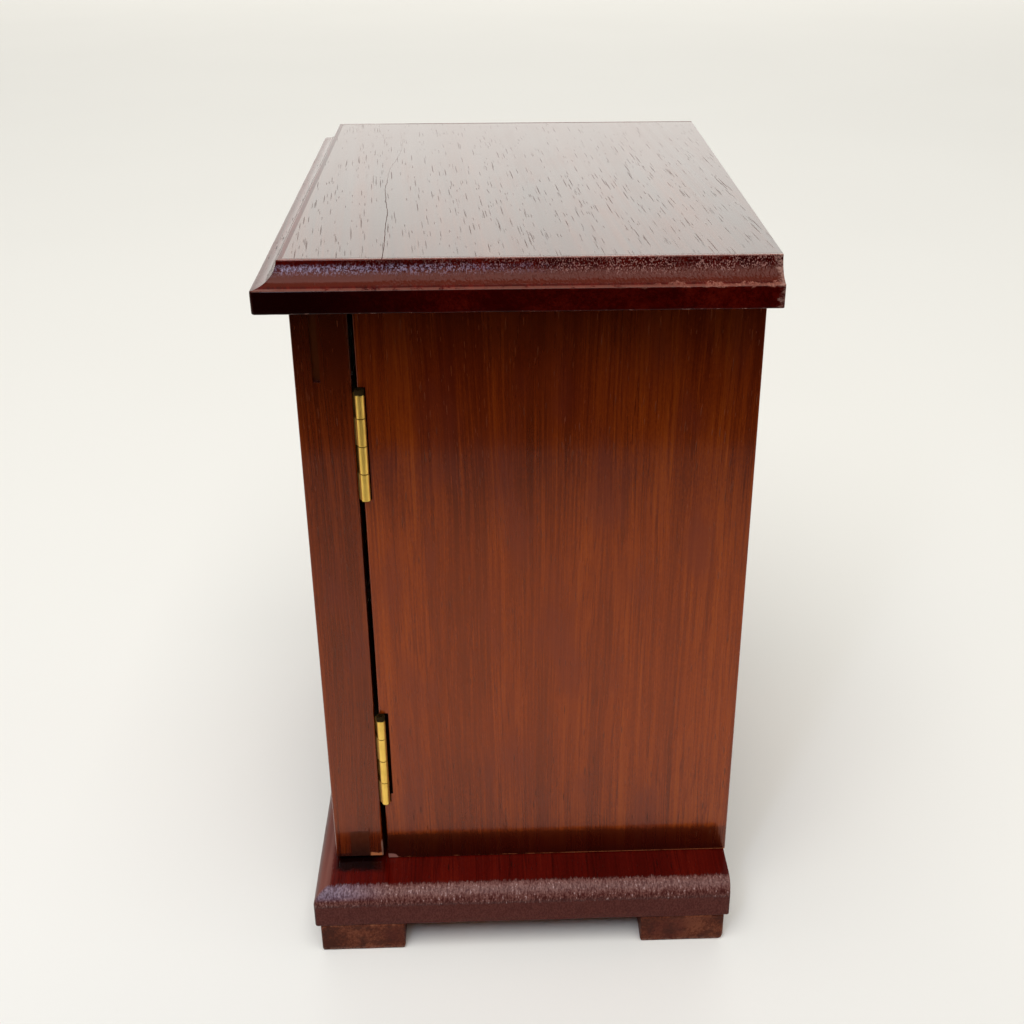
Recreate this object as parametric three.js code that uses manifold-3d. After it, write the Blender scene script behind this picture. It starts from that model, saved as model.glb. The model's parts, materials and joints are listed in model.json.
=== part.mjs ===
// Miniature wardrobe, two overlay doors on a plain carcass.
// Millimetres, +Z up, doors face -Y. The origin is at the middle of the
// bounding box's footprint, on the plane that the feet stand on.
import * as THREE from 'three';
import { mergeVertices } from 'three/addons/utils/BufferGeometryUtils.js';
import Module from 'manifold-3d';

// ---------------------------------------------------------------- dimensions
// Heights
const FOOT_H = 8.0;            // height of the four foot blocks
const BASE_FILLET_H = 6.2;     // upright edge of the base board
const OVOLO = 4.0;             // radius of the base board's rounded moulding
const BASE_TOP = FOOT_H + BASE_FILLET_H + OVOLO;        // 18.2
const TOP_UNDER = 168.7;       // underside of the top board
const TOP_FILLET_H = 4.9;      // upright edge of the top board
const COVE_H = 4.8;            // height of the top board's hollow moulding
const COVE_W = 5.0;            // width of the same moulding
const TOP_Z = TOP_UNDER + TOP_FILLET_H + COVE_H;        // 178.4
// Depths, measured from the closed doors' front face
const DOOR_T = 12.0;           // door thickness
const CARCASS_FRONT = 13.15;   // front edge of the side panels
const CARCASS_BACK = 100.0;    // rear edge of the side panels
const TOP_FRONT = -5.4;        // top board's front edge
const TOP_BACK = 100.8;        // top board's rear edge
const BASE_FRONT = -4.9;       // base board's front edge
const BASE_BACK = 99.6;        // base board's rear edge
// Widths, from the middle
const BODY_HALF = 59.4;        // outer face of the side panels and doors
const BOARD_HALF = 72.3;       // outer edge of the top and base boards
const SIDE_T = 9.0;            // side panel thickness
// Feet
const FOOT_X = 21.0, FOOT_FRONT_Y = 21.0, FOOT_REAR_Y = 21.2;
const FOOT_FRONT_INSET = 1.35, FOOT_REAR_INSET = 1.25;
// Doors
const DOOR_MEET = 0.4;         // half of the gap between the two doors
const DOOR_Z0 = BASE_TOP + 0.8, DOOR_Z1 = TOP_UNDER - 0.7;
const STILE_W = 13.0;
const TOP_RAIL_Z = 149.2;      // lower edge of the top rail
const BOTTOM_RAIL_Z = 33.0;    // upper edge of the bottom rail
const TONGUE_Y0 = 3.85, TONGUE_Y1 = 5.5;   // top rail tongue and panel groove
const TENON_Y0 = 3.9, TENON_Y1 = 8.65, TENON_Z = 27.2;  // bottom rail tenon
const GROOVE_D = 3.0;
// Inside
const BACK_T = 3.0;            // back panel
const SHELF_Z = 140.0, SHELF_T = 3.0;
const RAIL_Z = 129.0, RAIL_Y = 57.0, RAIL_R = 2.0;
const FRONT_RAIL_H = 11.7, FRONT_RAIL_T = 6.0;
const CATCH_X = 7.0, CATCH_Z = 162.6;
// Hinges
const PIN_X = BODY_HALF + 0.55, PIN_Y = 13.6;
const BARREL_R = 1.05, BORE_R = 0.62, PIN_R = 0.42;
const LEAF_T = 0.6, LEAF_W = 6.8;
const HINGE_L = 26.4, KNUCKLES = 4, KNUCKLE_GAP = 0.2;
const HINGE_Z = { upper: 121.4, lower: 36.7 };          // lower end of each
const SCREW_DZ = 8.0;          // screw distance from the hinge's middle
const SCREW_HEAD_R = 1.05, SCREW_SHANK_R = 0.52, PILOT_R = 0.78;
// Knobs
const KNOB_Z = 92.0, KNOB_R = 3.6, KNOB_OUT = 7.5;

// Middle of the depth, so that the origin sits under the middle of the piece
const Y_MID = (TOP_BACK - KNOB_OUT) / 2;

// ---------------------------------------------------------------- solids
const wasm = await Module();
wasm.setup();

function solid(geometry) {
  const g = geometry.index ? geometry.toNonIndexed() : geometry.clone();
  for (const name of Object.keys(g.attributes)) if (name !== 'position') g.deleteAttribute(name);
  const m = mergeVertices(g, 1e-5);
  return new wasm.Manifold(new wasm.Mesh({
    numProp: 3,
    vertProperties: new Float32Array(m.attributes.position.array),
    triVerts: new Uint32Array(m.index.array),
  }));
}

function geometryOf(manifold) {
  const mesh = manifold.getMesh();
  const g = new THREE.BufferGeometry();
  g.setAttribute('position', new THREE.BufferAttribute(new Float32Array(mesh.vertProperties), 3));
  g.setIndex(new THREE.BufferAttribute(new Uint32Array(mesh.triVerts), 1));
  return g;
}

const cut = (a, ...rest) => rest.reduce((s, b) => s.subtract(b), a);
const join = (a, ...rest) => rest.reduce((s, b) => s.add(b), a);

// A box from its corner planes
function box(x0, x1, y0, y1, z0, z1) {
  const g = new THREE.BoxGeometry(x1 - x0, y1 - y0, z1 - z0);
  g.translate((x0 + x1) / 2, (y0 + y1) / 2, (z0 + z1) / 2);
  return solid(g);
}

// A closed outline in X and Y, raised from z0 to z1
function prismZ(points, z0, z1) {
  const g = new THREE.ExtrudeGeometry(new THREE.Shape(points.map(([x, y]) => new THREE.Vector2(x, y))),
    { depth: z1 - z0, bevelEnabled: false, steps: 1 });
  g.translate(0, 0, z0);
  return solid(g);
}

// A closed outline in depth and height (u along +Y), drawn out along X
function prismX(points, x0, x1) {
  const g = new THREE.ExtrudeGeometry(new THREE.Shape(points.map(([y, z]) => new THREE.Vector2(y, z))),
    { depth: x1 - x0, bevelEnabled: false, steps: 1 });
  g.applyMatrix4(new THREE.Matrix4().makeBasis(
    new THREE.Vector3(0, 1, 0), new THREE.Vector3(0, 0, 1), new THREE.Vector3(1, 0, 0)));
  g.translate(x0, 0, 0);
  return solid(g);
}

// A closed outline in width and height, drawn out along Y
function prismY(points, y0, y1) {
  const g = new THREE.ExtrudeGeometry(new THREE.Shape(points.map(([x, z]) => new THREE.Vector2(x, z))),
    { depth: y1 - y0, bevelEnabled: false, steps: 1 });
  g.applyMatrix4(new THREE.Matrix4().makeBasis(
    new THREE.Vector3(1, 0, 0), new THREE.Vector3(0, 0, 1), new THREE.Vector3(0, -1, 0)));
  g.translate(0, y1, 0);
  return solid(g);
}

function rod(r, a, b, segments = 20) {
  const from = new THREE.Vector3(...a), to = new THREE.Vector3(...b);
  const g = new THREE.CylinderGeometry(r, r, from.distanceTo(to), segments, 1);
  g.applyQuaternion(new THREE.Quaternion().setFromUnitVectors(
    new THREE.Vector3(0, 1, 0), to.clone().sub(from).normalize()));
  g.translate((from.x + to.x) / 2, (from.y + to.y) / 2, (from.z + to.z) / 2);
  return solid(g);
}

// A turned shape: profile is [radius, distance] along the direction given
function turned(profile, origin, direction, segments = 24) {
  const g = new THREE.LatheGeometry(profile.map(([r, d]) => new THREE.Vector2(r, d)), segments);
  g.applyQuaternion(new THREE.Quaternion().setFromUnitVectors(
    new THREE.Vector3(0, 1, 0), new THREE.Vector3(...direction)));
  g.translate(...origin);
  const m = solid(g);
  return m.volume() < 0 ? solid(flip(g)) : m;
}

function flip(geometry) {
  const g = geometry.index ? geometry.toNonIndexed() : geometry.clone();
  const p = g.attributes.position;
  for (let i = 0; i < p.count; i += 3) {
    for (let k = 0; k < 3; k++) {
      const t = p.array[3 * (i + 1) + k];
      p.array[3 * (i + 1) + k] = p.array[3 * (i + 2) + k];
      p.array[3 * (i + 2) + k] = t;
    }
  }
  return g;
}

// The same solid on the other side of the middle plane
function mirrored(geometry) {
  const g = geometry.index ? geometry.toNonIndexed() : geometry.clone();
  g.scale(-1, 1, 1);
  return flip(g);
}

// ---------------------------------------------------------------- finishes
const finish = {
  mahogany: { color: 0x5c2014, roughness: 0.34, metalness: 0 },
  mahoganyTop: { color: 0x6a3026, roughness: 0.3, metalness: 0 },
  inside: { color: 0x6e3420, roughness: 0.5, metalness: 0 },
  brass: { color: 0xc9a244, roughness: 0.3, metalness: 1 },
  steel: { color: 0x9a9b9d, roughness: 0.35, metalness: 1 },
  magnet: { color: 0x6b6d70, roughness: 0.3, metalness: 1 },
};

const wardrobe = new THREE.Group();

function add(group, name, manifold, look, mirror = false) {
  let geometry = geometryOf(manifold);
  if (mirror) geometry = mirrored(geometry);
  geometry = geometry.index ? geometry.toNonIndexed() : geometry;
  geometry.computeVertexNormals();
  const mesh = new THREE.Mesh(geometry, new THREE.MeshStandardMaterial(finish[look]));
  mesh.name = name;
  group.add(mesh);
  return mesh;
}

// Adds the right-hand piece and its left-hand twin
function addPair(group, name, manifold, look) {
  add(group, `${name}_right`, manifold, look);
  add(group, `${name}_left`, manifold, look, true);
}

// ---------------------------------------------------------------- top and base
// Hollow quarter round along an edge: a cutter whose centre is the top arris
function arc(cx, cz, rx, rz, a0, a1, n) {
  const out = [];
  for (let i = 0; i <= n; i++) {
    const a = a0 + (a1 - a0) * i / n;
    out.push([cx + rx * Math.cos(a), cz + rz * Math.sin(a)]);
  }
  return out;
}

const boards = new THREE.Group();
{
  const over = 1.0;
  // side cutter in X and Z, run along Y; front cutter in Y and Z, run along X
  const coveSide = [...arc(BOARD_HALF, TOP_Z, COVE_W, COVE_H, Math.PI, 1.5 * Math.PI, 10),
    [BOARD_HALF + over, TOP_Z - COVE_H], [BOARD_HALF + over, TOP_Z + over], [BOARD_HALF - COVE_W, TOP_Z + over]];
  const coveFront = [...arc(TOP_FRONT, TOP_Z, COVE_W, COVE_H, 0, -0.5 * Math.PI, 10),
    [TOP_FRONT - over, TOP_Z - COVE_H], [TOP_FRONT - over, TOP_Z + over], [TOP_FRONT + COVE_W, TOP_Z + over]];
  const mirrorX = (pts) => pts.map(([x, z]) => [-x, z]).reverse();
  const top = cut(
    box(-BOARD_HALF, BOARD_HALF, TOP_FRONT, TOP_BACK, TOP_UNDER, TOP_Z),
    prismY(coveSide, TOP_FRONT - 2, TOP_BACK + 2),
    prismY(mirrorX(coveSide), TOP_FRONT - 2, TOP_BACK + 2),
    prismX(coveFront, -BOARD_HALF - 2, BOARD_HALF + 2));
  add(boards, 'top_board', top, 'mahoganyTop');

  const zf = BASE_TOP - OVOLO;
  const ovoloSide = [...arc(BOARD_HALF - OVOLO, zf, OVOLO, OVOLO, 0.5 * Math.PI, 0, 12),
    [BOARD_HALF + over, zf], [BOARD_HALF + over, BASE_TOP + over], [BOARD_HALF - OVOLO, BASE_TOP + over]];
  const ovoloFront = [...arc(BASE_FRONT + OVOLO, zf, OVOLO, OVOLO, 0.5 * Math.PI, Math.PI, 12),
    [BASE_FRONT - over, zf], [BASE_FRONT - over, BASE_TOP + over], [BASE_FRONT + OVOLO, BASE_TOP + over]];
  const base = cut(
    box(-BOARD_HALF, BOARD_HALF, BASE_FRONT, BASE_BACK, FOOT_H, BASE_TOP),
    prismY(ovoloSide, BASE_FRONT - 2, BASE_BACK + 2),
    prismY(mirrorX(ovoloSide), BASE_FRONT - 2, BASE_BACK + 2),
    prismX(ovoloFront, -BOARD_HALF - 2, BOARD_HALF + 2));
  add(boards, 'base_board', base, 'mahogany');

  // Foot blocks, flush with the base board's ends
  const footOutline = (y0, y1, worn) => {
    const c = 0.9;
    return [[y0, FOOT_H], [y0, c], [y0 + c * 0.35, c * 0.35], [y0 + c, 0],
      [y1 - worn, 0], [y1 - worn * 0.3, worn * 0.45], [y1, worn * 1.3], [y1, FOOT_H]];
  };
  const ff = BASE_FRONT + FOOT_FRONT_INSET, fr = BASE_BACK - FOOT_REAR_INSET;
  addPair(boards, 'foot_front',
    prismX(footOutline(ff, ff + FOOT_FRONT_Y, 0.9), BOARD_HALF - FOOT_X, BOARD_HALF), 'mahogany');
  addPair(boards, 'foot_rear',
    prismX(footOutline(fr - FOOT_REAR_Y, fr, 1.5), BOARD_HALF - FOOT_X, BOARD_HALF), 'mahogany');
}
wardrobe.add(boards);

// ---------------------------------------------------------------- carcass
const carcass = new THREE.Group();
const xi = BODY_HALF - SIDE_T;         // inner face of the side panels
const leafX0 = BODY_HALF - 1.1 - LEAF_W, leafX1 = BODY_HALF - 1.1;
const screwX = (leafX0 + leafX1) / 2 - 0.2;
const hingeMid = (z) => z + HINGE_L / 2;
{
  const cutters = [
    // rebate for the back panel, groove for the hat shelf, socket for the rail
    box(xi - 1, xi + 4, CARCASS_BACK - BACK_T - 0.5, CARCASS_BACK + 1, BASE_TOP - 1, TOP_UNDER + 1),
    box(xi - 1, xi + 2, 22, CARCASS_BACK - BACK_T - 0.5 + 0.2, SHELF_Z, SHELF_Z + SHELF_T),
    rod(RAIL_R + 0.3, [xi - 1, RAIL_Y, RAIL_Z], [xi + 2, RAIL_Y, RAIL_Z], 24),
  ];
  for (const which of ['upper', 'lower']) {
    const z0 = HINGE_Z[which], z1 = z0 + HINGE_L;
    // recess for the leaf, notch for the barrel, pilot holes for the screws
    cutters.push(box(leafX0 - 0.2, BODY_HALF + 1, CARCASS_FRONT - 1, CARCASS_FRONT + LEAF_T, z0 - 0.25, z1 + 0.25));
    cutters.push(box(BODY_HALF - 1.1, BODY_HALF + 1, CARCASS_FRONT - 1, PIN_Y + BARREL_R + 0.25, z0 - 0.25, z1 + 0.25));
    if (which === 'lower') cutters.push(box(BODY_HALF - 2.6, BODY_HALF + 1, CARCASS_FRONT, 15.4, z0 + 2.3, z1 + 0.25));
    for (const dz of [-SCREW_DZ, SCREW_DZ]) {
      cutters.push(rod(PILOT_R, [screwX, CARCASS_FRONT, hingeMid(z0) + dz], [screwX, CARCASS_FRONT + 7.2, hingeMid(z0) + dz], 14));
    }
  }
  addPair(carcass, 'side_panel',
    cut(box(xi, BODY_HALF, CARCASS_FRONT, CARCASS_BACK, BASE_TOP, TOP_UNDER), ...cutters), 'mahogany');

  add(carcass, 'back_panel',
    box(-xi - 3.7, xi + 3.7, CARCASS_BACK - BACK_T - 0.5, CARCASS_BACK - 0.5, BASE_TOP, TOP_UNDER), 'inside');

  add(carcass, 'hat_shelf',
    box(-xi - 1.7, xi + 1.7, 22.3, CARCASS_BACK - BACK_T - 0.5, SHELF_Z, SHELF_Z + SHELF_T), 'inside');

  add(carcass, 'hanging_rail', rod(RAIL_R, [-xi - 1.7, RAIL_Y, RAIL_Z], [xi + 1.7, RAIL_Y, RAIL_Z], 24), 'inside');

  const magnetHole = (s) => rod(2.8, [s * CATCH_X, CARCASS_FRONT - 1, CATCH_Z], [s * CATCH_X, CARCASS_FRONT + 2.6, CATCH_Z], 24);
  add(carcass, 'top_front_rail', cut(
    box(-xi, xi, CARCASS_FRONT, CARCASS_FRONT + FRONT_RAIL_T, TOP_UNDER - FRONT_RAIL_H, TOP_UNDER),
    magnetHole(1), magnetHole(-1)), 'mahogany');
  addPair(carcass, 'catch_magnet',
    rod(2.5, [CATCH_X, CARCASS_FRONT, CATCH_Z], [CATCH_X, CARCASS_FRONT + 2.6, CATCH_Z], 24), 'magnet');
}
wardrobe.add(carcass);

// ---------------------------------------------------------------- doors
const doors = new THREE.Group();
{
  const x0 = DOOR_MEET, x1 = BODY_HALF;                 // door's two edges
  const a = x0 + STILE_W, b = x1 - STILE_W;             // opening between the stiles
  const over = 1;
  const topSlot = box(x0 - over, x1 + over, TONGUE_Y0, TONGUE_Y1, TOP_RAIL_Z, DOOR_Z1 + over);
  const bottomSlot = box(x0 - over, x1 + over, TENON_Y0, TENON_Y1, DOOR_Z0 - over, TENON_Z);
  const grooveZ0 = BOTTOM_RAIL_Z - GROOVE_D, grooveZ1 = TOP_RAIL_Z + GROOVE_D;

  // hinge stile: slots for the rails, groove for the panel, holes for the leaf screws
  const hingeCuts = [topSlot, bottomSlot,
    box(b - over, b + GROOVE_D, TONGUE_Y0, TONGUE_Y1, grooveZ0, TOP_RAIL_Z + 0.1)];
  for (const which of ['upper', 'lower']) {
    for (const dz of [-SCREW_DZ, SCREW_DZ]) {
      const z = hingeMid(HINGE_Z[which]) + dz;
      hingeCuts.push(rod(PILOT_R, [screwX, DOOR_T + 0.5, z], [screwX, DOOR_T - 5.6, z], 14));
    }
  }
  addPair(doors, 'hinge_stile', cut(box(b, x1, 0, DOOR_T, DOOR_Z0, DOOR_Z1), ...hingeCuts), 'mahogany');

  // closing stile: the same joints, a hole for the knob's screw, a seat for the catch plate
  addPair(doors, 'closing_stile', cut(box(x0, a, 0, DOOR_T, DOOR_Z0, DOOR_Z1), topSlot, bottomSlot,
    box(a - GROOVE_D, a + over, TONGUE_Y0, TONGUE_Y1, grooveZ0, TOP_RAIL_Z + 0.1),
    rod(0.95, [CATCH_X, -1, KNOB_Z], [CATCH_X, DOOR_T + 1, KNOB_Z], 16),
    rod(3.2, [CATCH_X, DOOR_T - 0.8, CATCH_Z], [CATCH_X, DOOR_T + 1, CATCH_Z], 24)), 'mahogany');

  // rails with their through tongues and tenons, grooved for the panel
  addPair(doors, 'door_top_rail', cut(join(
    box(a, b, 0, DOOR_T, TOP_RAIL_Z, DOOR_Z1),
    box(x0 + 0.8, x1 - 0.8, TONGUE_Y0, TONGUE_Y1, TOP_RAIL_Z, DOOR_Z1)),
  box(a - GROOVE_D, b + GROOVE_D, TONGUE_Y0 - 0.1, TONGUE_Y1 + 0.1, TOP_RAIL_Z - over, grooveZ1)), 'mahogany');
  addPair(doors, 'door_bottom_rail', cut(join(
    box(a, b, 0, DOOR_T, DOOR_Z0, BOTTOM_RAIL_Z),
    box(x0 + 0.1, x1 - 0.1, TENON_Y0, TENON_Y1, DOOR_Z0, TENON_Z)),
  box(a, b, TONGUE_Y0, TONGUE_Y1, grooveZ0, BOTTOM_RAIL_Z + over)), 'mahogany');

  // fielded panel: thin edges in the grooves, a raised middle with sloping borders
  const t0 = TONGUE_Y0 + 0.15, t1 = TONGUE_Y1 - 0.15;
  const px0 = a - GROOVE_D + 0.4, px1 = b + GROOVE_D - 0.4;
  const pz0 = grooveZ0 + 0.4, pz1 = grooveZ1 - 0.4;
  const fx0 = a + 1.2, fx1 = b - 1.2, fz0 = BOTTOM_RAIL_Z + 1.2, fz1 = TOP_RAIL_Z - 1.2;
  const slope = 5.5, rise = 2.3;
  const field = (() => {
    const p = [];
    const ring = (inset, y) => [[fx0 + inset, y, fz0 + inset], [fx1 - inset, y, fz0 + inset],
      [fx1 - inset, y, fz1 - inset], [fx0 + inset, y, fz1 - inset]];
    const lower = ring(0, t0 + 0.4), raised = ring(slope, t0 - rise);
    const quad = (q0, q1, q2, q3) => p.push(...q0, ...q1, ...q2, ...q0, ...q2, ...q3);
    quad(raised[0], raised[1], raised[2], raised[3]);
    quad(lower[3], lower[2], lower[1], lower[0]);
    for (let i = 0; i < 4; i++) {
      const j = (i + 1) % 4;
      quad(lower[i], lower[j], raised[j], raised[i]);
    }
    const g = new THREE.BufferGeometry();
    g.setAttribute('position', new THREE.BufferAttribute(new Float32Array(p), 3));
    const m = solid(g);
    return m.volume() < 0 ? solid(flip(g)) : m;
  })();
  addPair(doors, 'door_panel', join(box(px0, px1, t0, t1, pz0, pz1), field,
    box(fx0 + 0.6, fx1 - 0.6, t1 - 0.2, t1 + 2.2, fz0 + 0.6, fz1 - 0.6)), 'mahogany');

  // turned knob on the closing stile, held from inside by its screw
  addPair(doors, 'knob', cut(
    turned([[0, 0], [2.9, 0], [2.9, 0.55], [1.5, 1.25], [1.25, 2.0], [1.45, 2.7],
      [3.1, 3.8], [KNOB_R, 5.0], [3.3, 6.2], [2.1, 7.1], [0, KNOB_OUT]],
    [CATCH_X, 0, KNOB_Z], [0, -1, 0], 20),
    rod(0.95, [CATCH_X, 1, KNOB_Z], [CATCH_X, -4.4, KNOB_Z], 16)), 'brass');
  addPair(doors, 'knob_screw', cut(
    turned([[0, -0.75], [1.0, -0.68], [1.6, -0.4], [1.75, 0], [0.65, 0], [0.65, 15.3], [0, 15.9]],
      [CATCH_X, DOOR_T, KNOB_Z], [0, -1, 0], 14),
    box(CATCH_X - 2, CATCH_X + 2, DOOR_T + 0.4, DOOR_T + 2, KNOB_Z - 0.2, KNOB_Z + 0.2)), 'steel');

  addPair(doors, 'catch_plate',
    rod(2.9, [CATCH_X, DOOR_T - 0.8, CATCH_Z], [CATCH_X, DOOR_T, CATCH_Z], 24), 'steel');
}
wardrobe.add(doors);

// ---------------------------------------------------------------- hinges
const hinges = new THREE.Group();
{
  const pitch = HINGE_L / KNUCKLES;
  const screwAt = (y, into, z) => cut(
    turned([[0, 0], [SCREW_HEAD_R, 0], [SCREW_HEAD_R, LEAF_T], [SCREW_SHANK_R, LEAF_T],
      [SCREW_SHANK_R, LEAF_T + 3.9], [0, LEAF_T + 5.0]], [screwX, y, z], [0, into, 0], 12),
    box(screwX - 2, screwX + 2, y - 0.22, y + 0.22, z - 0.16, z + 0.16));

  for (const which of ['upper', 'lower']) {
    const z0 = HINGE_Z[which];
    const mid = hingeMid(z0);
    const holes = (y) => [-SCREW_DZ, SCREW_DZ].map((dz) =>
      rod(SCREW_HEAD_R + 0.15, [screwX, y - 1, mid + dz], [screwX, y + LEAF_T + 1, mid + dz], 14));
    const bore = rod(BORE_R, [PIN_X, PIN_Y, z0 - 1], [PIN_X, PIN_Y, z0 + HINGE_L + 1], 14);
    const span = (k) => [z0 + k * pitch + (k ? KNUCKLE_GAP / 2 : 0),
      z0 + (k + 1) * pitch - (k < KNUCKLES - 1 ? KNUCKLE_GAP / 2 : 0)];

    // leaf on the carcass: let into the panel's front edge, knuckles 2 and 4
    let leaf = box(leafX0, leafX1, CARCASS_FRONT, CARCASS_FRONT + LEAF_T, z0, z0 + HINGE_L);
    for (const k of [1, 3]) {
      const [a, b] = span(k);
      leaf = join(leaf, box(leafX1 - 0.5, PIN_X, CARCASS_FRONT, CARCASS_FRONT + LEAF_T, a, b),
        rod(BARREL_R, [PIN_X, PIN_Y, a], [PIN_X, PIN_Y, b], 16));
    }
    addPair(hinges, `hinge_leaf_carcass_${which}`, cut(leaf, bore, ...holes(CARCASS_FRONT)), 'brass');

    // leaf on the door: on the stile's rear face, cranked to the barrel, knuckles 1 and 3
    leaf = box(leafX0, leafX1, DOOR_T, DOOR_T + LEAF_T, z0, z0 + HINGE_L);
    for (const k of [0, 2]) {
      const [a, b] = span(k);
      leaf = join(leaf, prismZ([[leafX1 - 0.5, DOOR_T], [PIN_X - 0.6, DOOR_T], [PIN_X + 0.1, DOOR_T + 0.58],
        [PIN_X + 0.1, PIN_Y], [PIN_X - 0.9, PIN_Y], [leafX1 + 0.1, DOOR_T + LEAF_T], [leafX1 - 0.5, DOOR_T + LEAF_T]], a, b),
      rod(BARREL_R, [PIN_X, PIN_Y, a], [PIN_X, PIN_Y, b], 16));
    }
    addPair(hinges, `hinge_leaf_door_${which}`, cut(leaf, bore, ...holes(DOOR_T)), 'brass');

    // pin, a little short of the barrel's ends
    addPair(hinges, `hinge_pin_${which}`,
      rod(PIN_R, [PIN_X, PIN_Y, z0 + 0.4], [PIN_X, PIN_Y, z0 + HINGE_L - 0.7], 12), 'brass');

    for (const [n, dz] of [['top', SCREW_DZ], ['bottom', -SCREW_DZ]]) {
      addPair(hinges, `carcass_screw_${which}_${n}`, screwAt(CARCASS_FRONT, 1, mid + dz), 'brass');
      addPair(hinges, `door_screw_${which}_${n}`, screwAt(DOOR_T + LEAF_T, -1, mid + dz), 'brass');
    }
  }
}
wardrobe.add(hinges);

wardrobe.position.set(0, -Y_MID, 0);

export default wardrobe;
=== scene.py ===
import json
import math
import random

import bmesh
import bpy
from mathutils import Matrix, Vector, noise


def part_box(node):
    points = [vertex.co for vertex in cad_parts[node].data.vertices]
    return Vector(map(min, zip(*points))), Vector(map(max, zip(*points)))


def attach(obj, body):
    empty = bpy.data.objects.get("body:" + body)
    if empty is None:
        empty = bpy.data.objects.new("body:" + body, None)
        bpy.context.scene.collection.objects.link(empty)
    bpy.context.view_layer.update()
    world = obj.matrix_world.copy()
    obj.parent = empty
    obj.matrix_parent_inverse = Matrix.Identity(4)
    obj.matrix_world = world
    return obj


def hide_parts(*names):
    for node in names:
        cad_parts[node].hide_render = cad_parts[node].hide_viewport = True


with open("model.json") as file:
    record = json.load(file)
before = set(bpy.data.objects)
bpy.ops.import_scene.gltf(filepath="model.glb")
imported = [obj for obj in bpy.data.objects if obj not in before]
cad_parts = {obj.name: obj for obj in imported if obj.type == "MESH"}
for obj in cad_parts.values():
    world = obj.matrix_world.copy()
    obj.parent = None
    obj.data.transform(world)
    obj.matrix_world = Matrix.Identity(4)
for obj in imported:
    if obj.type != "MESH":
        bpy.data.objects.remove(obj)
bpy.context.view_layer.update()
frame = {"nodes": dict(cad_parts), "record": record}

MM = 0.001
NODES = frame["nodes"]
BODY_OF = {n: b for b, ns in frame["record"]["behaviour"]["bodies"].items() for n in ns}
Y0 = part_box("hinge_stile_right")[0].y / MM      # the closed doors' front face, in millimetres


# ------------------------------------------------------------------ camera
cam_data = bpy.data.cameras.new("camera")
cam = bpy.data.objects.new("camera", cam_data)
bpy.context.scene.collection.objects.link(cam)
bpy.context.scene.camera = cam
cam.location = (0.32799, 0.04218 + Y0 * MM, 0.25570)
cam.rotation_mode = "XYZ"
cam.rotation_euler = (1.10384, 0.0004, 1.53181)
cam_data.sensor_width = 36.0
cam_data.lens = 1346.19 / 1024 * 36.0
cam_data.shift_x = -29.83 / 1024
cam_data.shift_y = -11.46 / 1024
cam_data.clip_start, cam_data.clip_end = 0.01, 50.0


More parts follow.
